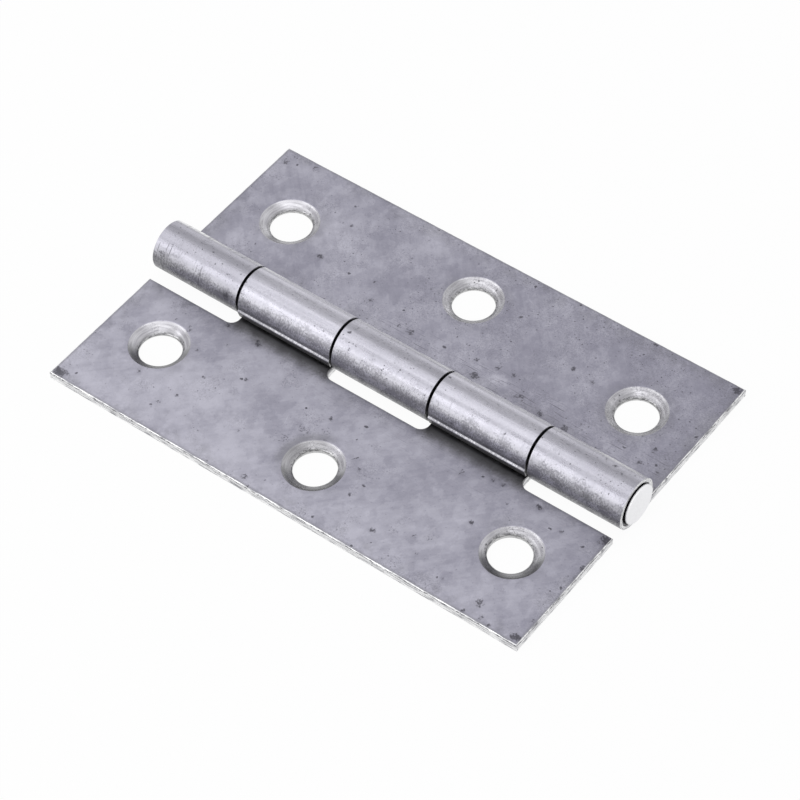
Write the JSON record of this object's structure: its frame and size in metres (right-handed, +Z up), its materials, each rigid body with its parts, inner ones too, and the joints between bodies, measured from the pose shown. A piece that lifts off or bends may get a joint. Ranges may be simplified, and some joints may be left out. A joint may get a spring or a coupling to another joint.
{
  "type": "butt hinge",
  "caption": "Flat rolled sheet steel butt hinge, lying open, with interleaved knuckles on a plain pin and countersunk screw holes in both leaves.",
  "frame": {"origin": "on the plane of the leaves' backs, straight below the middle of the pin", "axes": "+X along the pin, +Y towards the leaf with three knuckles, +Z up out of the faces that the screws are sunk in"},
  "size_m": [0.0768, 0.05, 0.007],
  "materials": {
    "leaf_steel": "bare rolled sheet, dull and a little mottled",
    "pin_steel": "bare drawn wire, peened matte ends"
  },
  "bodies": {
    "fixed_leaf": {"three_knuckle_leaf": "leaf_steel", "pin": "pin_steel"},
    "swinging_leaf": {"two_knuckle_leaf": "leaf_steel"}
  },
  "joints": [
    {"name": "leaf_swing", "type": "hinge", "parent": "fixed_leaf", "child": "swinging_leaf", "pos_m": [0, 0, 0.0035], "axis": [-1, 0, 0], "range_deg": [-98, 189]}
  ]
}
